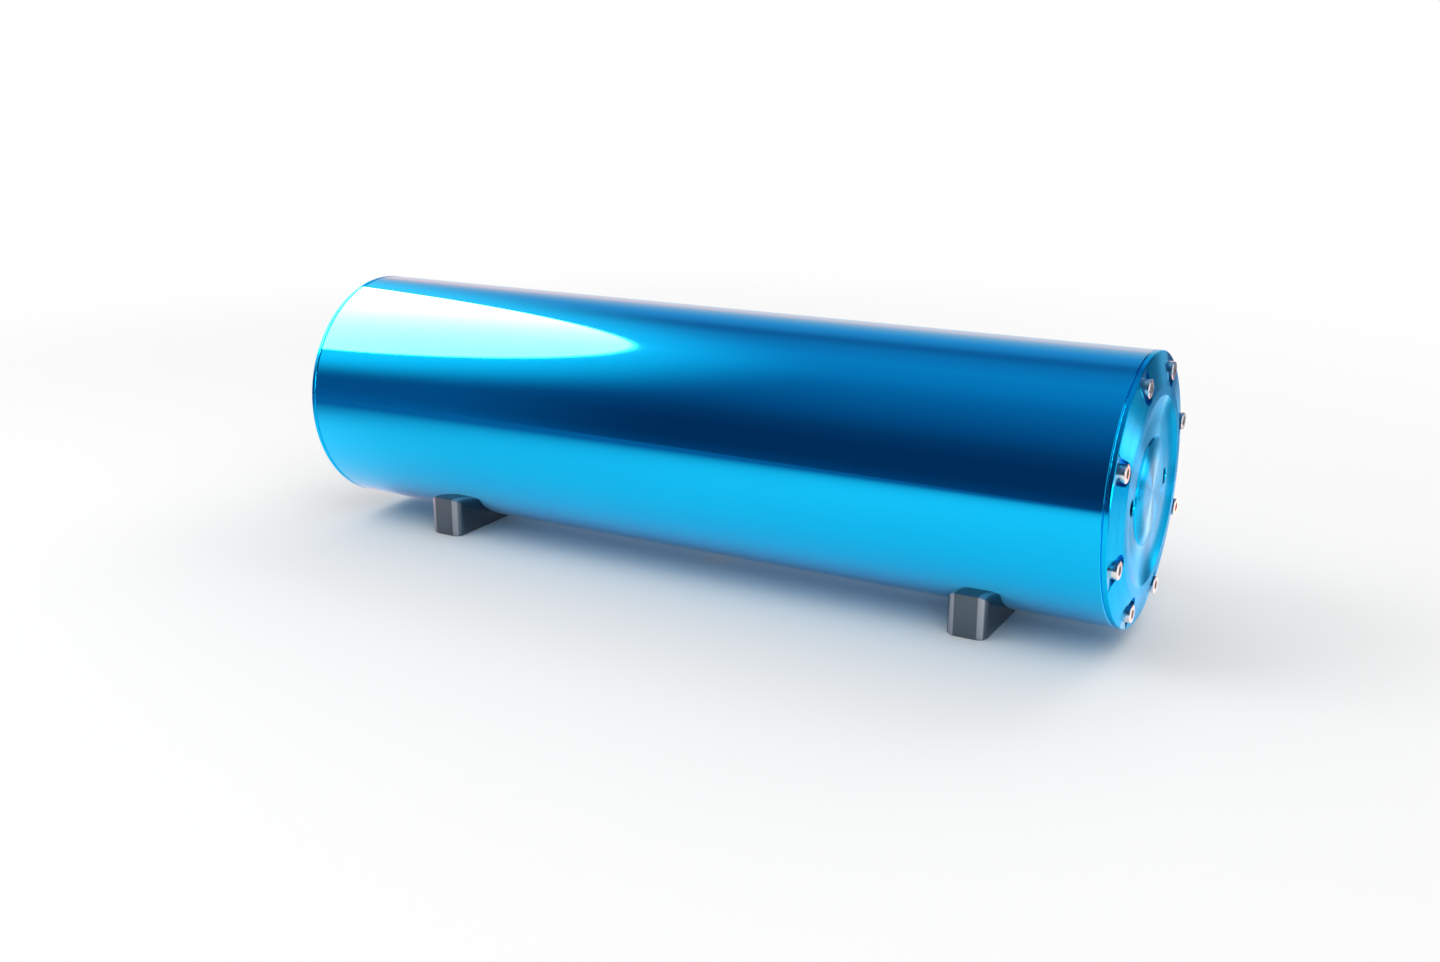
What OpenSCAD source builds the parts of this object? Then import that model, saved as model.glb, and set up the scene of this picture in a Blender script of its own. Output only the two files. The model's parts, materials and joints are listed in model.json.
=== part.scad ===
// Compressed air tank: a thick tube closed by two screwed end caps, on two saddle feet.
// The tube's axis runs along X, Z is up, and the origin is on the floor below the middle of the tube.
// The front end faces +X.

/* [Tube] */
// Outer diameter of the tube and of both caps
tank_od = 152.4; // [142:0.2:180]
// Thickness of the tube's wall
tube_wall = 16.2; // [14:0.1:20]
// Length of the tube between the two caps
tube_len = 528; // [300:1:900]
// Bevel on the outer edge of each tube end
tube_bevel = 0.7; // [0.2:0.1:1.5]

/* [Cap face, from the rim inward] */
// Height of the cap's straight rim above the tube's end
rim_h = 3; // [2:0.1:6]
// Bevel on both edges of the rim
rim_bevel = 0.4; // [0.1:0.1:0.9]
// Height of the flat ring above the rim
ring_rise = 3.6; // [2.8:0.1:6]
// Width of the cone between the rim and the flat ring
cone_w = 18.7; // [17:0.1:22]
// Width of the flat ring
ring_w = 5; // [3:0.1:7]
// Width of the curved slope inside the flat ring
cove_w = 12.5; // [10:0.1:14]
// Depth of the valley floor below the flat ring
valley_d = 2.2; // [1.6:0.1:2.8]
// Width of the valley floor
valley_w = 10; // [9.9:0.1:12]
// Width of the steep step up to the raised centre
step_w = 1; // [0.5:0.1:2]
// Depth of the raised centre's flat top below the flat ring
centre_drop = 0.2; // [0:0.1:0.5]
// Width of the raised centre's rounded shoulder
shoulder_w = 11; // [9:0.5:12]
// Fall of the raised centre's rounded shoulder
shoulder_fall = 1.35; // [0.5:0.05:1.4]

/* [Inside of the caps] */
// Depth of the cap's solid plate behind the tube's end face
plate_d = 8; // [6:0.5:12]
// How far each spigot reaches into the tube
spigot_len = 18; // [14:0.5:30]
// Thickness of the spigot's wall
spigot_wall = 11; // [8:0.5:16]
// Gap between the spigot and the tube's bore
spigot_gap = 0.12; // [0.05:0.01:0.3]
// Lead-in bevel at the end of the spigot
spigot_bevel = 1.2; // [0.5:0.1:2]
// Squeezed thickness of the rubber seal ring
seal_d = 3; // [2:0.1:4]
// Spare width of the groove beside the seal ring
groove_spare = 1.2; // [0.4:0.1:2]
// Distance from the tube's end to the middle of the groove
groove_in = 9; // [6:0.5:11]

/* [Cap screws] */
// Number of screws in each cap
screw_count = 8; // [6:1:10]
// Distance from the tube's outer surface to the middle of each screw
screw_inset = 9.2; // [8.5:0.1:10]
// Diameter of the screw's thread
screw_d = 6; // [4:0.5:6]
// Diameter of the screw's head
head_d = 10; // [8:0.1:11]
// Height of the screw's head
head_h = 4; // [3:0.1:6]
// Bevel on the top edge of the screw's head
head_bevel = 0.4; // [0.1:0.1:0.8]
// Width across the flats of the socket
socket_af = 5; // [3:0.5:5]
// Depth of the socket
socket_d = 2.6; // [1.5:0.1:2.8]
// Length of the cap screw under its head
cap_screw_len = 20; // [14:1:30]
// Gap between a screw and the hole it passes through
screw_gap = 0.3; // [0.2:0.05:0.5]
// Gap between a thread and its tapped hole
thread_gap = 0.05; // [0.02:0.01:0.1]
// Spare depth of a tapped hole past its screw
tap_spare = 3; // [1:0.5:5]

/* [Screw pockets] */
// Radius of the pocket's round inner end
pocket_r = 6.5; // [6:0.1:7.5]
// Width of the cone that is left between the pocket and the flat ring
pocket_land = 0.4; // [0.2:0.1:1]
// Angle that each side of the pocket opens outward
pocket_flare = 5; // [0:0.5:10]

/* [Ports] */
// Radius of the two small tapped ports in each cap
small_port_r = 4.3; // [3:0.1:4.3]
// Radius of the main tapped port in the rear cap
main_port_r = 9.3; // [6:0.1:10]
// Bevel at the mouth of each port
port_bevel = 0.6; // [0.3:0.1:0.8]

/* [Feet] */
// Length of a foot along the tube
foot_len = 24; // [20:1:40]
// Width of a foot across the tube
foot_w = 92; // [86:1:104]
// Thickness of a foot below the lowest point of the tube
foot_under = 10; // [8:0.5:16]
// Distance from the tube's end to the middle of the foot
foot_inset = 79.5; // [50:0.5:120]
// Radius of a foot's four upright corners
foot_corner_r = 6; // [2:0.5:9]
// Bevel round the foot's underside
foot_bevel = 0.8; // [0.3:0.1:1.5]
// Distance between the two mounting holes of a foot
mount_pitch = 70; // [66:1:74]
// Radius of the tapped mounting holes
mount_hole_r = 3.4; // [2.5:0.1:3.6]
// Depth of the tapped mounting holes
mount_hole_d = 14; // [8:0.5:14.5]

/* [Foot screws] */
// Tilt of each foot screw away from the upright
foot_screw_tilt = 14; // [12:0.5:15]
// Thickness of the foot between each screw head and the tube
foot_screw_grip = 6; // [4:0.5:6.5]
// Length of the foot screw under its head
foot_screw_len = 14; // [11:1:18]
// Gap round the screw's head in its recess
head_gap = 0.5; // [0.3:0.1:1]

/* [Drain] */
// Radius of the drain plug's thread
drain_r = 5.7; // [4:0.1:6]
// Radius of the drain plug's head
drain_head_r = 8.5; // [7.5:0.1:10]
// Height of the drain plug's head
drain_head_h = 3; // [2:0.1:3.5]
// Thickness of the drain seal
drain_seal_h = 1; // [0.6:0.1:1.5]
// Gap round the drain plug's head in its recess
drain_gap = 0.8; // [0.3:0.1:1.5]
// How far the drain plug's head lies inside the tube's lowest point
drain_sink = 0.8; // [0.2:0.1:1.5]
// Gap between the drain seal and the plug's thread
drain_seal_gap = 0.1; // [0.05:0.05:0.3]
// Width across the flats of the drain plug's socket
drain_af = 6; // [4:0.5:6]
// Depth of the drain plug's socket
drain_socket_d = 5; // [3:0.5:7]

/* [Hidden] */

$fn = 96;
// Steps round the large turned shapes
fine = 180;
// Overrun of a cut past the face that it opens
past = 1;

tank_r = tank_od / 2;
bore_r = tank_r - tube_wall;
axis_h = tank_r + foot_under;
end_x = tube_len / 2;
foot_x = end_x - foot_inset;

ring_ro = tank_r - cone_w;
ring_ri = ring_ro - ring_w;
valley_ro = ring_ri - cove_w;
valley_ri = valley_ro - valley_w;
centre_r = valley_ri - step_w;
centre_flat_r = centre_r - shoulder_w;

ring_h = rim_h + ring_rise;
valley_h = ring_h - valley_d;
centre_h = ring_h - centre_drop;

spigot_r = bore_r - spigot_gap;
spigot_ri = spigot_r - spigot_wall;
groove_r = bore_r - seal_d;
groove_w = seal_d + groove_spare;

screw_r = tank_r - screw_inset;
pocket_pos = ring_ro + pocket_land + pocket_r;
tap_r = screw_d / 2;
thread_r = tap_r - thread_gap;
hole_r = tap_r + screw_gap;
cap_tap_d = cap_screw_len - rim_h + tap_spare;
foot_tap_d = foot_screw_len - foot_screw_grip + tap_spare;

small_port_pos = (valley_ro + valley_ri) / 2;

drain_head_z = foot_under + drain_sink;
drain_seal_z = drain_head_z + drain_head_h;
drain_seat_z = drain_seal_z + drain_seal_h;
drain_tip_z = foot_under + tube_wall;

blue = "deepskyblue";
charcoal = "dimgray";
steel = "silver";
rubber = "black";

// Radius of the arc that runs level at one end and falls or rises by h over the width w
function arc_radius(w, h) = (w * w + h * h) / (2 * h);

// Stands a child on either end face of the tube, with Z outward
module at_end(side) {
    translate([side * end_x, 0, axis_h])
        rotate([0, side * 90, 0])
            children();
}

// Repeats a child round the cap's screw circle, with X outward
module at_screws() {
    for (i = [0 : screw_count - 1])
        rotate([0, 0, (i + 0.5) * 360 / screw_count])
            translate([screw_r, 0, 0])
                children();
}

// Puts a child on the tube's surface at each screw of a foot, with Z into the tube
module at_foot_screws() {
    for (side = [-1, 1])
        translate([0, 0, axis_h])
            rotate([side * foot_screw_tilt, 0, 0])
                translate([0, 0, -tank_r])
                    children();
}

// A hexagonal socket cut downward from 0
module socket_cut(across_flats, depth) {
    translate([0, 0, -depth])
        cylinder(d = across_flats / cos(30), h = depth + past, $fn = 6);
}

// A low-head socket screw that seats at 0, with its head upward
module socket_screw(len) {
    tip = screw_d / 8;
    difference() {
        rotate_extrude()
            polygon([
                [0, -len], [thread_r - tip, -len], [thread_r, tip - len], [thread_r, 0],
                [head_d / 2, 0], [head_d / 2, head_h - head_bevel], [head_d / 2 - head_bevel, head_h], [0, head_h]
            ]);
        translate([0, 0, head_h])
            socket_cut(socket_af, socket_d);
    }
}

// Half section of the raised centre: a flat top, a rounded shoulder and a steep step
module centre_section() {
    shoulder_r = arc_radius(shoulder_w, shoulder_fall);
    edge_h = centre_h - shoulder_fall;
    intersection() {
        polygon([[0, 0], [0, centre_h], [centre_r, centre_h], [centre_r, edge_h], [valley_ri, valley_h], [valley_ri, 0]]);
        union() {
            square([centre_flat_r, centre_h]);
            translate([centre_flat_r, centre_h - shoulder_r])
                circle(r = shoulder_r, $fn = 2 * fine);
        }
    }
}

// What is cut inside the flat ring: a curve that meets the valley floor flush
module cove_section() {
    cove_r = arc_radius(cove_w, valley_d);
    intersection() {
        translate([valley_ro, valley_h + cove_r])
            circle(r = cove_r, $fn = 2 * fine);
        translate([valley_ro, valley_h])
            square([cove_w, valley_d]);
    }
}

// Half section of the turned cap, with the radius along X and the height along Y
module cap_section() {
    difference() {
        union() {
            polygon([
                [0, -plate_d], [0, valley_h], [valley_ro, valley_h], [valley_ro, ring_h], [ring_ro, ring_h],
                [tank_r - rim_bevel, rim_h], [tank_r, rim_h - rim_bevel], [tank_r, rim_bevel], [tank_r - rim_bevel, 0],
                [spigot_r, 0], [spigot_r, spigot_bevel - spigot_len], [spigot_r - spigot_bevel, -spigot_len],
                [spigot_ri, -spigot_len], [spigot_ri, -plate_d]
            ]);
            centre_section();
        }
        cove_section();
        translate([groove_r, -groove_in - groove_w / 2])
            square([seal_d + past, groove_w]);
    }
}

// Plan of a screw pocket: a round inner end whose straight sides open outward to the rim
module pocket_plan() {
    reach = tank_r - pocket_pos + past;
    mouth = pocket_r + reach * tan(pocket_flare);
    translate([pocket_pos - screw_r, 0]) {
        circle(r = pocket_r);
        polygon([[0, -pocket_r], [reach, -mouth], [reach, mouth], [0, pocket_r]]);
    }
}

// A tapped port through the cap's plate, bevelled where it opens at the height h
module port(r, h) {
    translate([0, 0, -plate_d - past])
        cylinder(r = r, h = plate_d + h + past);
    translate([0, 0, h - port_bevel])
        cylinder(r1 = r, r2 = r + port_bevel + past, h = port_bevel + past);
}

// The blank that both caps are made from
module cap_blank() {
    difference() {
        rotate_extrude($fn = fine)
            cap_section();
        at_screws() {
            translate([0, 0, rim_h])
                linear_extrude(ring_rise + past)
                    pocket_plan();
            translate([0, 0, -past])
                cylinder(r = hole_r, h = rim_h + 2 * past);
        }
        for (side = [-1, 1])
            translate([0, side * small_port_pos, 0])
                port(small_port_r, valley_h);
    }
}

module front_cap() {
    color(blue)
        at_end(1)
            cap_blank();
}

module rear_cap() {
    color(blue)
        at_end(-1)
            difference() {
                cap_blank();
                port(main_port_r, centre_h);
            }
}

module cap_screws(side) {
    color(steel)
        at_end(side)
            at_screws()
                translate([0, 0, rim_h])
                    socket_screw(cap_screw_len);
}

module seal_ring(side) {
    color(rubber)
        at_end(side)
            translate([0, 0, -groove_in])
                rotate_extrude($fn = fine)
                    translate([bore_r - seal_d / 2, 0])
                        circle(d = seal_d, $fn = 32);
}

module tank_tube() {
    color(blue)
        difference() {
            translate([0, 0, axis_h])
                rotate([0, 90, 0])
                    rotate_extrude($fn = fine)
                        polygon([
                            [bore_r, -end_x], [tank_r - tube_bevel, -end_x], [tank_r, tube_bevel - end_x],
                            [tank_r, end_x - tube_bevel], [tank_r - tube_bevel, end_x], [bore_r, end_x]
                        ]);
            for (side = [-1, 1]) {
                at_end(side)
                    at_screws()
                        translate([0, 0, -cap_tap_d])
                            cylinder(r = tap_r, h = cap_tap_d + past);
                translate([side * foot_x, 0, 0])
                    at_foot_screws()
                        translate([0, 0, -past])
                            cylinder(r = tap_r, h = foot_tap_d + past);
            }
            drain_cut();
        }
}

// The drain's recess in the tube's underside, and its tapped hole into the bore
module drain_cut() {
    translate([0, 0, foot_under - past])
        cylinder(r = drain_head_r + drain_gap, h = drain_seat_z - foot_under + past);
    translate([0, 0, foot_under])
        cylinder(r = drain_r, h = tank_r);
}

module drain_plug() {
    color(steel)
        difference() {
            union() {
                translate([0, 0, drain_head_z])
                    cylinder(r = drain_head_r, h = drain_head_h);
                translate([0, 0, drain_head_z])
                    cylinder(r = drain_r - thread_gap, h = drain_tip_z - drain_head_z);
            }
            translate([0, 0, drain_head_z])
                mirror([0, 0, 1])
                    socket_cut(drain_af, drain_socket_d);
        }
}

module drain_seal() {
    color(rubber)
        translate([0, 0, drain_seal_z])
            difference() {
                cylinder(r = drain_head_r, h = drain_seal_h);
                translate([0, 0, -past])
                    cylinder(r = drain_r + drain_seal_gap, h = drain_seal_h + 2 * past);
            }
}

// Half outline of a block's section, bevelled at its foot
module block_section(half_w) {
    polygon([
        [-half_w, foot_bevel], [foot_bevel - half_w, 0], [half_w - foot_bevel, 0], [half_w, foot_bevel],
        [half_w, axis_h], [-half_w, axis_h]
    ]);
}

// The foot's block: a plan with round corners, bevelled all round its underside
module foot_block() {
    flat_x = foot_len - 2 * foot_corner_r;
    flat_y = foot_w - 2 * foot_corner_r;
    rotate([90, 0, 0])
        linear_extrude(flat_y, center = true)
            block_section(foot_len / 2);
    rotate([90, 0, 90])
        linear_extrude(flat_x, center = true)
            block_section(foot_w / 2);
    for (x = [-1, 1], y = [-1, 1])
        translate([x * flat_x / 2, y * flat_y / 2, 0]) {
            cylinder(r1 = foot_corner_r - foot_bevel, r2 = foot_corner_r, h = foot_bevel);
            translate([0, 0, foot_bevel])
                cylinder(r = foot_corner_r, h = axis_h - foot_bevel);
        }
}

module foot(side) {
    color(charcoal)
        translate([side * foot_x, 0, 0])
            difference() {
                foot_block();
                translate([0, 0, axis_h])
                    rotate([0, 90, 0])
                        cylinder(r = tank_r, h = foot_len + 2 * past, center = true, $fn = fine);
                for (end = [-1, 1])
                    translate([0, end * mount_pitch / 2, -past])
                        cylinder(r = mount_hole_r, h = mount_hole_d + past);
                at_foot_screws() {
                    translate([0, 0, -foot_screw_grip - past])
                        cylinder(r = hole_r, h = foot_screw_grip + 2 * past);
                    translate([0, 0, -foot_screw_grip - 2 * foot_under])
                        cylinder(r = head_d / 2 + head_gap, h = 2 * foot_under);
                }
            }
}

module foot_screws(side) {
    color(steel)
        translate([side * foot_x, 0, 0])
            at_foot_screws()
                translate([0, 0, -foot_screw_grip])
                    mirror([0, 0, 1])
                        socket_screw(foot_screw_len);
}

tank_tube();
front_cap();
rear_cap();
seal_ring(1);  // front_seal_ring
seal_ring(-1);  // rear_seal_ring
cap_screws(1);  // front_cap_screws
cap_screws(-1);  // rear_cap_screws
foot(-1);  // left_foot
foot(1);  // right_foot
foot_screws(-1);  // left_foot_screws
foot_screws(1);  // right_foot_screws
drain_plug();
drain_seal();
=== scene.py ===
# Compressed air tank: anodised tube and caps, bright screws and dark saddle feet.
import json
import math

import bpy
from mathutils import Euler, Matrix, Vector


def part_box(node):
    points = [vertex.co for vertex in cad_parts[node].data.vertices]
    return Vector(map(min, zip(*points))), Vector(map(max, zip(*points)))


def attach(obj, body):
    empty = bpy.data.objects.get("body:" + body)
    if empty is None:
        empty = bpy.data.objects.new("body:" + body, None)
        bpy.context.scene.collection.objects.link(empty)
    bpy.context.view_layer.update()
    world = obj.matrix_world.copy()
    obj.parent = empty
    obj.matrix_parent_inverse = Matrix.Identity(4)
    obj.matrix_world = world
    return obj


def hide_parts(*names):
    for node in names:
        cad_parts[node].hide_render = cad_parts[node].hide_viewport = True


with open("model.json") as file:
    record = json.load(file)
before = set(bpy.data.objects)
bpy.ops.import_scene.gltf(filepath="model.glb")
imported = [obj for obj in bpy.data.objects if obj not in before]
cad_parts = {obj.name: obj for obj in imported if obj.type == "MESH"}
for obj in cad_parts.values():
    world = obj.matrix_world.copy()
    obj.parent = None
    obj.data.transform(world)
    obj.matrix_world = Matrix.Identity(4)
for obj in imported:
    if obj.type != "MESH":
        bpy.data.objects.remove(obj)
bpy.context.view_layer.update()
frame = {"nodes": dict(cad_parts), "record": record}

tubeLow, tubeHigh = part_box("tank_tube")
axisHeight = (tubeLow.z + tubeHigh.z) / 2
tubeEnd = tubeHigh.x


class Wire:  # one output of a shader node, which can stand in a sum
    def __init__(self, graph, socket):
        self.graph = graph
        self.socket = socket

    def __add__(self, other):
        return self.graph.calculate("ADD", self, other)

    def __radd__(self, other):
        return self.graph.calculate("ADD", other, self)

    def __sub__(self, other):
        return self.graph.calculate("SUBTRACT", self, other)

    def __rsub__(self, other):
        return self.graph.calculate("SUBTRACT", other, self)

    def __mul__(self, other):
        return self.graph.calculate("MULTIPLY", self, other)

    def __rmul__(self, other):
        return self.graph.calculate("MULTIPLY", other, self)

    def __truediv__(self, other):
        return self.graph.calculate("DIVIDE", self, other)

    def __rtruediv__(self, other):
        return self.graph.calculate("DIVIDE", other, self)

    def __pow__(self, other):
        return self.graph.calculate("POWER", self, other)


class Graph:  # the nodes of one material or of the world
    def __init__(self, owner):
        owner.use_nodes = True
        self.tree = owner.node_tree
        self.tree.nodes.clear()

    def add(self, kind, settings=None, sockets=None, output=0):
        node = self.tree.nodes.new(kind)
        for name, value in (settings or {}).items():
            if name == "stops":
                self.setStops(node.color_ramp, value)
            else:
                setattr(node, name, value)
        for name, value in (sockets or {}).items():
            if isinstance(value, Wire):
                self.tree.links.new(value.socket, node.inputs[name])
            else:
                node.inputs[name].default_value = value
        return Wire(self, node.outputs[output]) if node.outputs else node

    def setStops(self, ramp, stops):
        ramp.elements.remove(ramp.elements[1])
        ramp.elements[0].position, ramp.elements[0].color = stops[0]
        for place, colour in stops[1:]:
            ramp.elements.new(place).color = colour

    def calculate(self, operation, *values):
        return self.add("ShaderNodeMath", {"operation": operation}, dict(enumerate(values)))

    def coordinates(self, kind="Object"):
        return self.add("ShaderNodeTexCoord", {}, {}, kind)

    def split(self, place, axis):
        return self.add("ShaderNodeSeparateXYZ", {}, {0: place}, axis)

    def length(self, place):
        return self.add("ShaderNodeVectorMath", {"operation": "LENGTH"}, {0: place}, "Value")

    def noise(self, place, scale, detail, roughness=0.5):
        sockets = {"Vector": place, "Scale": scale, "Detail": detail, "Roughness": roughness}
        return self.add("ShaderNodeTexNoise", {}, sockets)

    def rings(self, radius, scale):  # noise that changes only with the radius
        return self.add("ShaderNodeTexNoise", {"noise_dimensions": "1D"}, {"W": radius, "Scale": scale})

    def vary(self, middle, spread, noise):
        return middle + spread * (noise - 0.5)

    def smooth(self, value, low, high):
        sockets = {"Value": value, "From Min": low, "From Max": high}
        return self.add("ShaderNodeMapRange", {"interpolation_type": "SMOOTHSTEP"}, sockets)

    def blend(self, mask, first, second, way="MIX"):  # colours
        settings = {"data_type": "RGBA", "blend_type": way}
        return self.add("ShaderNodeMix", settings, {0: mask, 6: first, 7: second}, 2)

    def bump(self, height, strength, distance):
        sockets = {"Height": height, "Strength": strength, "Distance": distance}
        return self.add("ShaderNodeBump", {}, sockets)

    def finish(self, surface, kind="ShaderNodeOutputMaterial"):
        self.add(kind, {}, {"Surface": surface})


def makeMaterial(name, build):
    material = bpy.data.materials.new(name)
    graph = Graph(material)
    sockets = build(graph, graph.coordinates())
    graph.finish(graph.add("ShaderNodeBsdfPrincipled", {}, sockets))
    return material


def coated(look):  # the clear layer over the dyed metal
    return {
        "Coat Weight": look["coat"],
        "Coat Roughness": look["coatRoughness"],
        "Coat IOR": look["coatIndex"],
    }


# A noise is given by its scale, detail and roughness, a bump by its strength and depth.
tubeLook = {
    "deep": (0, 0.53, 0.95, 1),
    "bright": (0, 0.57, 0.98, 1),
    "clouds": (14, 3),
    "grain": (1900, 3, 0.7),
    "roughness": 0.043,
    "roughnessSpread": 0.02,
    "bump": (0.05, 0.00002),
    "edgeTint": (0.9, 0.97, 1, 1),
    "coat": 0.12,
    "coatRoughness": 0.045,
    "coatIndex": 1.6,
}


def tubeFinish(graph, place):
    look = tubeLook
    grain = graph.noise(place, *look["grain"])
    return {
        "Base Color": graph.blend(graph.noise(place, *look["clouds"]), look["deep"], look["bright"]),
        "Metallic": 1,
        "Roughness": graph.vary(look["roughness"], look["roughnessSpread"], grain),
        "Specular Tint": look["edgeTint"],
        "Normal": graph.bump(grain, *look["bump"]),
        **coated(look),
    }


capLook = {
    "deep": (0, 0.5, 0.93, 1),
    "bright": (0, 0.58, 0.98, 1),
    "edgeTint": (0.45, 0.8, 1, 1),
    "roughness": 0.24,
    "rimRoughness": 0.13,
    "roughnessSpread": 0.04,
    "faceRange": (0.02, 0.2),  # where the rim's finish gives way to the face's, by the squared slope
    "anisotropy": 1,
    "rotation": 0.25,  # the turning lines run round the cap, so light spreads across them
    "turnPitch": 0.00035,
    "broadScale": 220,
    "bump": (0.06, 0.00003),
    "coat": 0.07,
    "coatRoughness": 0.12,
    "coatIndex": 1.6,
}


def capFinish(graph, place):
    look = capLook
    flat = graph.add("ShaderNodeVectorMath", {"operation": "MULTIPLY"}, {0: place, 1: (1, 1, 0)})
    radius = graph.length(flat)
    turned = graph.rings(radius, 1 / look["turnPitch"])
    facing = graph.split(graph.coordinates("Normal"), "Z")
    face = graph.smooth(facing * facing, *look["faceRange"])
    roughness = look["rimRoughness"] + (look["roughness"] - look["rimRoughness"]) * face
    return {
        "Base Color": graph.blend(graph.rings(radius, look["broadScale"]), look["deep"], look["bright"]),
        "Metallic": 1,
        "Roughness": graph.vary(roughness, look["roughnessSpread"], turned),
        "Specular Tint": look["edgeTint"],
        "Anisotropic": look["anisotropy"],
        "Anisotropic Rotation": look["rotation"],
        "Normal": graph.bump(turned, *look["bump"]),
        **coated(look),
    }


milledLook = {
    **capLook,
    "marks": (1500, 2),
    "roughness": 0.16,
    "roughnessSpread": 0.08,
    "bump": (0.1, 0.00002),
}


def milledFinish(graph, place):  # the screw pockets and ports: cutter marks without a direction
    look = milledLook
    marks = graph.noise(place, *look["marks"])
    return {
        "Base Color": graph.blend(marks, look["deep"], look["bright"]),
        "Metallic": 1,
        "Roughness": graph.vary(look["roughness"], look["roughnessSpread"], marks),
        "Normal": graph.bump(marks, *look["bump"]),
        **coated(look),
    }


steelLook = {
    "dark": (0.76, 0.75, 0.735, 1),
    "light": (0.88, 0.87, 0.855, 1),
    "blotches": (300, 2),
    "grain": (2600, 3),
    "roughness": 0.24,
    "roughnessSpread": 0.1,
    "bump": (0.08, 0.00003),
}


def steelFinish(graph, place):
    look = steelLook
    grain = graph.noise(place, *look["grain"])
    return {
        "Base Color": graph.blend(graph.noise(place, *look["blotches"]), look["dark"], look["light"]),
        "Metallic": 1,
        "Roughness": graph.vary(look["roughness"], look["roughnessSpread"], grain),
        "Normal": graph.bump(grain, *look["bump"]),
    }


footLook = {
    "dark": (0.1, 0.128, 0.152, 1),
    "light": (0.138, 0.175, 0.205, 1),
    "blotches": (60, 3),
    # painted highlight: the paler colour of the feet's rounded upright corners
    "corner": (0.36, 0.38, 0.415, 1),
    "highlightRange": (0.01, 0.04),
    "highlightEdge": 0.1,
    "grain": (3200, 4, 0.6),
    "roughness": 0.33,
    "roughnessSpread": 0.12,
    "bump": (0.25, 0.00005),
}


# the foot's dark anodised finish, with a painted highlight on its rounded corners
def footFinishAndHighlight(graph, place):
    look = footLook
    grain = graph.noise(place, *look["grain"])
    normal = graph.coordinates("Normal")
    along, across = graph.split(normal, "X"), graph.split(normal, "Y")
    along, across = along * along, across * across
    # painted highlight: the rounded upright corners are paler, on the half of each next to the foot's end,
    # standing in for a light band down them
    rounded = graph.smooth(along * across, *look["highlightRange"])
    corner = rounded * graph.smooth(across - along, -look["highlightEdge"], look["highlightEdge"])
    body = graph.blend(graph.noise(place, *look["blotches"]), look["dark"], look["light"])
    return {
        "Base Color": graph.blend(corner, body, look["corner"]),
        "Metallic": 1,
        "Roughness": graph.vary(look["roughness"], look["roughnessSpread"], grain),
        "Normal": graph.bump(grain, *look["bump"]),
    }


sealLook = {
    "dark": (0.012, 0.012, 0.012, 1),
    "light": (0.024, 0.024, 0.025, 1),
    "grain": (1800, 3),
    "roughness": 0.55,
    "roughnessSpread": 0.2,
    "bump": (0.2, 0.00004),
}


def sealFinish(graph, place):
    look = sealLook
    grain = graph.noise(place, *look["grain"])
    return {
        "Base Color": graph.blend(grain, look["dark"], look["light"]),
        "Roughness": graph.vary(look["roughness"], look["roughnessSpread"], grain),
        "Normal": graph.bump(grain, *look["bump"]),
    }


finishes = {
    "tube_blue": makeMaterial("tube_blue_finish", tubeFinish),
    "cap_blue": makeMaterial("cap_blue_finish", capFinish),
    "screw_steel": makeMaterial("screw_steel_finish", steelFinish),
    "foot_black": makeMaterial("foot_black_finish_and_highlight", footFinishAndHighlight),
    "seal_rubber": makeMaterial("seal_rubber_finish", sealFinish),
}
milled = makeMaterial("milled_blue_finish", milledFinish)
slots = {part["node"]: part["material_slot"] for part in frame["record"]["subparts"]}
for name, node in frame["nodes"].items():
    node.data.materials.clear()
    node.data.materials.append(finishes[slots[name]])
print("finishes:", len(finishes), "on", len(slots), "nodes")


def addObject(name, data):
    thing = bpy.data.objects.new(name, data)
    bpy.context.scene.collection.objects.link(thing)
    return thing


# The screw pockets of a cap, from its own middle in metres and degrees, and the faces that can be
# milled: level or upright ones in the ring of the pockets, upright ones in the ports inside it.
pocket = {
    "count": 8,
    "first": 22.5,
    "place": 0.0644,
    "radius": 0.0065,
    "flare": 5,
    "inner": 0.053,
    "reach": 0.0759,
    "slack": 0.0002,
    "level": 0.999,
    "sloping": 0.1,
    "upright": 0.02,
    "portDepth": 0.006,
}


def inPocket(face):  # whether a face of the cap lies in one of its screw pockets or ports
    up = face.normal.z
    if pocket["sloping"] < up < pocket["level"] or up < -pocket["sloping"]:
        return False
    out = math.hypot(face.center.x, face.center.y)
    if out < pocket["inner"]:
        return abs(up) < pocket["upright"] and face.center.z < pocket["portDepth"]
    if out > pocket["reach"]:
        return False
    step = 360 / pocket["count"]
    bearing = math.degrees(math.atan2(face.center.y, face.center.x)) - pocket["first"]
    turn = math.radians((bearing + step / 2) % step - step / 2)
    along = out * math.cos(turn) - pocket["place"]
    across = abs(out * math.sin(turn))
    half = pocket["radius"] + pocket["slack"]
    if along < 0:
        return math.hypot(along, across) < half
    return across < half + along * math.tan(math.radians(pocket["flare"]))


def turnedCap(node, side):  # in a frame whose Z runs along the tube, so that the turning lines lie round it
    own = Matrix.Translation((side * tubeEnd, 0, axisHeight)) @ Matrix.Rotation(side * math.pi / 2, 4, "Y")
    mesh = frame["nodes"][node].data.copy()
    mesh.transform(own.inverted())
    mesh.materials.append(milled)
    picked = [face for face in mesh.polygons if inPocket(face)]
    for face in picked:
        face.material_index = 1
    print(node, "milled faces:", len(picked), "of", len(mesh.polygons))
    cap = addObject(node + "_turned", mesh)
    cap.matrix_world = own
    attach(cap, "root")
    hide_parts(node)


turnedCap("front_cap", 1)
turnedCap("rear_cap", -1)
print("caps: turned")


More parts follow.
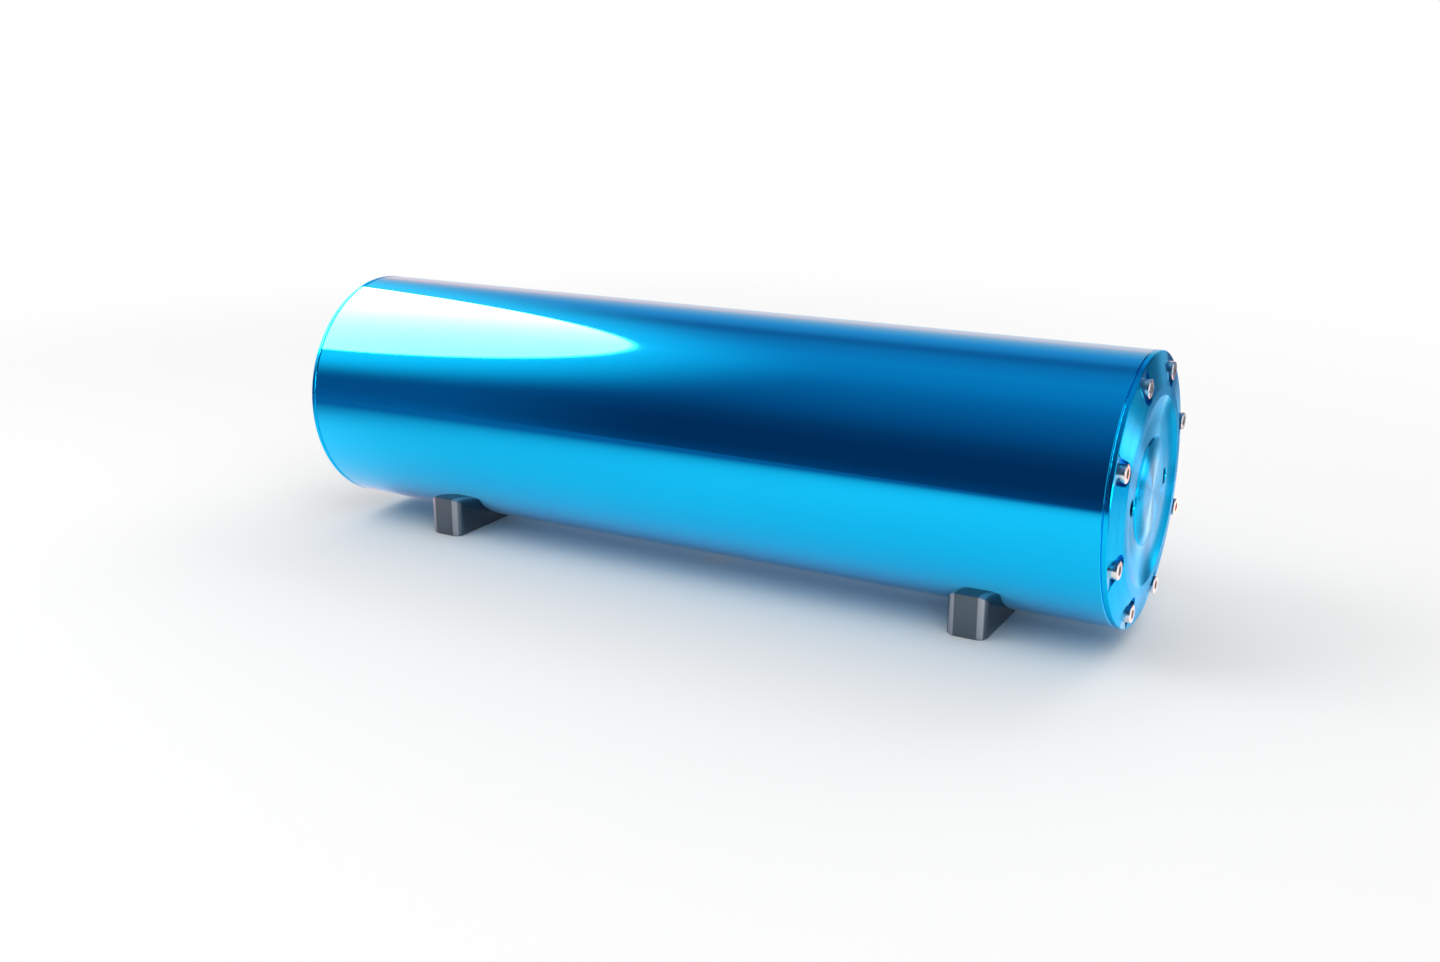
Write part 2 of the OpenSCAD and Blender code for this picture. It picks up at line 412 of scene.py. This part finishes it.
studio = {
    "white": (1, 1, 1, 1),
    "ambient": (0.68, 0.68, 0.68, 1),
    "floorSize": 14,
    "floorColour": (0.9, 0.9, 0.9, 1),
    "farRange": (0.5, 1.35),  # where the floor fades to white, from the tank's middle
    "floorDim": (0.1, 0.16, 0.28, 1),  # painted shade: the floor at the left front, darker as the metal shows it
    "dimRange": (0.1, 1.15),
    "nearLift": 0.35,  # how much of the shade below the tank the metal doesn't show
    "nearRange": (0.03, 0.13),
}


def square(half):
    return [(-half, -half, 0), (half, -half, 0), (half, half, 0), (-half, half, 0)]


def stageMesh(name, points, faces, material):
    mesh = bpy.data.meshes.new(name)
    mesh.from_pydata(points, [], faces)
    mesh.materials.append(material)
    thing = addObject(name, mesh)
    return thing


def onlyReflected(thing):
    thing.visible_camera = False
    thing.visible_diffuse = False
    thing.visible_transmission = False
    thing.visible_volume_scatter = False
    thing.visible_shadow = False


def ray(graph, kind):
    return graph.add("ShaderNodeLightPath", {}, {}, kind)


def seenWhite(graph):  # 1 for the rays that see the pale background
    return ray(graph, "Is Camera Ray") + ray(graph, "Is Glossy Ray") + ray(graph, "Is Transmission Ray")


def direct(graph):  # 0 for light on its way by a dull surface
    return graph.calculate("LESS_THAN", ray(graph, "Diffuse Depth"), 0.5)


def glow(graph, colour, power):  # lights no floor by way of the metal, which would leave patches on it
    return graph.add("ShaderNodeEmission", {}, {"Color": colour, "Strength": direct(graph) * power})


def makeFloor():
    material = bpy.data.materials.new("floorPale")
    graph = Graph(material)
    place = graph.coordinates()
    x, y = graph.split(place, "X"), graph.split(place, "Y")
    far = graph.smooth(graph.length(place), *studio["farRange"])
    # painted shade on the floor towards the left front, for glossy rays only
    dim = graph.smooth(0 - x - y, *studio["dimRange"]) * ray(graph, "Is Glossy Ray")
    colour = graph.blend(dim, studio["floorColour"], studio["floorDim"])
    matt = graph.add("ShaderNodeBsdfDiffuse", {}, {"Color": colour})
    white = graph.add("ShaderNodeEmission", {}, {"Color": studio["white"], "Strength": 1})
    away = graph.smooth(0 - y, *studio["nearRange"])
    near = (1 - far) * away * direct(graph) * ray(graph, "Is Glossy Ray") * studio["nearLift"]
    seen = (far * seenWhite(graph) + near) * (1 - dim)
    graph.finish(graph.add("ShaderNodeMixShader", {}, {0: seen, 1: matt, 2: white}))
    stageMesh("floor", square(studio["floorSize"] / 2), [(0, 1, 2, 3)], material)


def makeWorld():
    world = bpy.data.worlds.new("studio")
    bpy.context.scene.world = world
    graph = Graph(world)
    ambient = graph.add("ShaderNodeBackground", {}, {"Color": studio["ambient"], "Strength": 1})
    white = graph.add("ShaderNodeBackground", {}, {"Color": studio["white"], "Strength": 1})
    surface = graph.add("ShaderNodeMixShader", {}, {0: seenWhite(graph), 1: ambient, 2: white})
    graph.finish(surface, "ShaderNodeOutputWorld")


room = {
    "width": 1.3,
    "height": 2,
    "from": -2.6,
    "to": 2.4,
    "steps": 48,
    # how bright the room looks in the metal, by the angle from the near horizon over the top
    "middle": (-0.04, 0.13),
    "lowest": -12,
    "highest": 180,
    "straightDown": -90,
    "levels": [
        (-12, 0.16), (-8, 0.11), (-4, 0.07), (4, 0.046), (20, 0.045), (32, 0.065), (44, 0.11),
        (60, 0.17), (72, 0.22), (84, 0.3), (100, 0.35), (115, 0.28), (124, 0.19), (128, 0.21),
        (134, 0.33), (142, 0.43), (150, 0.52), (158, 0.64), (166, 0.78), (172, 0.82), (178, 0.85),
    ],
    # dim light is blue, the wall behind is warm, and it is pale down by the floor
    "dimColour": (0.5, 1, 1.15),
    "bluer": 0.36,
    "wallFrom": 142,
    "wallTo": 166,
    "wallColour": (2.1, 1, 0.88),
    "paleTo": 178,
    "paleColour": (1.05, 1, 0.98),
    # a little more light at the left, but not on the wall behind
    "leftRange": (0.7, 1.25),
    "leftUpTo": (0.5, 0.75),
    "leftLift": (0.04, 0.08, 0.136, 1),
    # a dark stretch between the first range and the second
    "gapStart": (0.5, 0.75),
    "gapEnd": (1.15, 1.5),
    "gapColour": (0.05, 0.06, 0.09, 1),
}


def mixed(first, second, value, low, high):  # from the first colour at low to the second at high
    share = min(max((value - low) / (high - low), 0), 1)
    return [(1 - share) * a + share * b for a, b in zip(first, second)]


def roomColour(angle, level):
    red, green, blue = room["dimColour"]
    dim = (red, green, blue - room["bluer"] * math.log(level))
    wall = mixed(dim, room["wallColour"], angle, room["wallFrom"], room["wallTo"])
    colour = mixed(wall, room["paleColour"], angle, room["wallTo"], room["paleTo"])
    return *(level * part for part in colour), 1


def makeRoom():
    material = bpy.data.materials.new("roomArch")
    graph = Graph(material)
    place = graph.coordinates()
    x, y, z = (graph.split(place, axis) for axis in "XYZ")
    across, up = room["middle"]
    turn = graph.calculate("ARCTAN2", z - up, across - y) * (180 / math.pi)
    turn = graph.calculate("WRAP", turn, room["straightDown"] + 360, room["straightDown"])
    span = room["highest"] - room["lowest"]
    part = (turn - room["lowest"]) / span
    stops = [((angle - room["lowest"]) / span, roomColour(angle, level)) for angle, level in room["levels"]]
    level = graph.add("ShaderNodeValToRGB", {"stops": stops}, {0: part})
    left = graph.smooth(0 - x, *room["leftRange"]) * (1 - graph.smooth(part, *room["leftUpTo"]))
    lifted = graph.blend(left, level, room["leftLift"], "ADD")
    gap = graph.smooth(x, *room["gapStart"]) * (1 - graph.smooth(x, *room["gapEnd"]))
    graph.finish(glow(graph, graph.blend(gap, lifted, room["gapColour"]), 1))
    points, faces = [], []
    for i in range(room["steps"] + 1):
        lean = math.pi * i / room["steps"]
        side, height = -room["width"] * math.cos(lean), room["height"] * math.sin(lean)
        points += [(room["from"], side, height), (room["to"], side, height)]
    for i in range(room["steps"]):
        faces.append((2 * i, 2 * i + 1, 2 * i + 3, 2 * i + 2))
    onlyReflected(stageMesh("roomArch", points, faces, material))


# Patches of light and dark that only the metal sees. A card lies flat unless it says where it faces,
# "corner" makes it squarer and "fade" is the share of it that its soft edge takes.
plainCard = {"facing": (0, 0, 1), "turn": 0, "corner": 0.9}
cards = {
    # the big round light at the left, its glow and the lit floor below it
    "softbox": {
        "place": (-1.007, -0.075, 0.73), "facing": (0.788, 0, -0.616), "size": (0.6, 0.56),
        "power": 15, "colour": (2.8, 1, 0.95, 1), "fade": 0.03,
    },
    "softboxGlow": {
        "place": (-1.13, -0.075, 0.62), "facing": (0.788, 0, -0.616), "size": (1.28, 1.18),
        "power": 1.08, "colour": (0.4, 1, 1.05, 1), "fade": 0.5,
    },
    "litLeft": {
        "place": (-0.5, -0.05, 0.001), "size": (0.4, 0.3),
        "power": 1.7, "colour": (1.9, 1, 0.97, 1), "fade": 1,
    },
    # the low light at the right front and the small one beside the front cap
    "sideLight": {
        "place": (1, -0.6, 0.15), "facing": (-0.86, 0.51, 0), "size": (0.35, 0.15),
        "power": 14, "colour": (1, 0.95, 0.97, 1), "fade": 0.3,
    },
    "capLight": {
        "place": (0.46, 0.25, 0.055), "facing": (-0.6, -0.78, 0), "size": (0.03, 0.035),
        "power": 5, "colour": (1.5, 1, 1, 1), "fade": 0.5,
    },
    # the floor that the front cap shows: the higher of two patches covers the other
    "dimRight": {
        "place": (0.9, 0.35, 0.0006), "size": (0.62, 1), "corner": 1.5,
        "power": 0.4, "colour": (0.8, 1, 1.25, 1), "fade": 0.35,
    },
    "litFloor": {
        "place": (0.41, 0.05, 0.001), "size": (0.15, 0.2), "corner": 2,
        "power": 1.1, "colour": (1.3, 1, 1, 1), "fade": 0.15,
    },
    "litBeyond": {
        "place": (0.86, 0.72, 0.001), "turn": -40, "size": (0.15, 0.33), "corner": 1.5,
        "power": 2.3, "colour": (2.2, 1, 1, 1), "fade": 0.3,
    },
    "darkBehind": {
        "place": (0.42, 0.95, 0.0012), "size": (0.22, 0.6),
        "power": 0.14, "colour": (0.6, 1, 1.6, 1), "fade": 0.5,
    },
    "darkFloor": {
        "place": (0.449, 0.464, 0.0014), "turn": -22, "size": (0.055, 0.2), "corner": 1.5,
        "power": 0.1, "colour": (0.6, 1, 1.6, 1), "fade": 0.4,
    },
    "dimFloor": {
        "place": (0.347, 0.172, 0.0016), "turn": -24, "size": (0.038, 0.11),
        "power": 0.1, "colour": (0.6, 1, 1.6, 1), "fade": 0.6,
    },
    "streak": {
        "place": (0.327, 0.272, 0.0018), "turn": -13.5, "size": (0.018, 0.17),
        "power": 2, "colour": (3.2, 1, 0.7, 1), "fade": 0.35,
    },
}


def makeCard(name, settings):
    card = {**plainCard, **settings}
    material = bpy.data.materials.new(name)
    graph = Graph(material)
    place = graph.coordinates()
    x, y = graph.split(place, "X"), graph.split(place, "Y")
    corner = card["corner"]
    out = ((x * x) ** corner + (y * y) ** corner) ** (0.5 / corner)
    lit = 1 - graph.smooth(out, 1 - card["fade"], 1)
    clear = graph.add("ShaderNodeBsdfTransparent")
    light = glow(graph, card["colour"], card["power"])
    graph.finish(graph.add("ShaderNodeMixShader", {}, {0: lit * lit, 1: clear, 2: light}))
    sheet = stageMesh(name, square(1), [(0, 1, 2, 3)], material)
    sheet.location = card["place"]
    facing = Vector(card["facing"]).to_track_quat("Z", "Y").to_matrix()
    sheet.rotation_euler = (facing @ Matrix.Rotation(math.radians(card["turn"]), 3, "Z")).to_euler()
    sheet.scale = (*card["size"], 1)
    onlyReflected(sheet)


lamps = {
    "key": {"place": (-1, -0.7, 1.2), "size": 1, "power": 8},
    "fill": {"place": (0.9, -1, 1.3), "size": 1.2, "power": 7},
    "back": {"place": (0.4, 1.2, 1.2), "size": 1.2, "power": 6},
}


def makeLamp(name, lamp):
    data = bpy.data.lights.new(name, "AREA")
    data.shape = "SQUARE"
    data.size = lamp["size"]
    data.energy = lamp["power"]
    thing = addObject(name, data)
    thing.location = lamp["place"]
    away = Vector((0, 0, axisHeight)) - Vector(lamp["place"])
    thing.rotation_euler = away.to_track_quat("-Z", "Y").to_euler()
    thing.visible_glossy = False
    thing.visible_camera = False


view = {
    "place": (0.4393, -0.7769, 0.3179),
    "down": 16.54,
    "turn": 29.34,
    "lens": 36.81,
    "sensor": 36,
    "nearest": 0.01,
}


def makeCamera():
    data = bpy.data.cameras.new("camera")
    data.sensor_width = view["sensor"]
    data.lens = view["lens"]
    data.clip_start = view["nearest"]
    camera = addObject("camera", data)
    camera.location = view["place"]
    camera.rotation_euler = Euler((math.radians(90 - view["down"]), 0, math.radians(view["turn"])))
    bpy.context.scene.camera = camera


makeFloor()
makeWorld()
makeRoom()
for name, card in cards.items():
    makeCard(name, card)
for name, lamp in lamps.items():
    makeLamp(name, lamp)
makeCamera()
bpy.context.scene.view_settings.view_transform = "Standard"
print("studio: floor, room,", len(cards), "cards,", len(lamps), "lamps and camera")
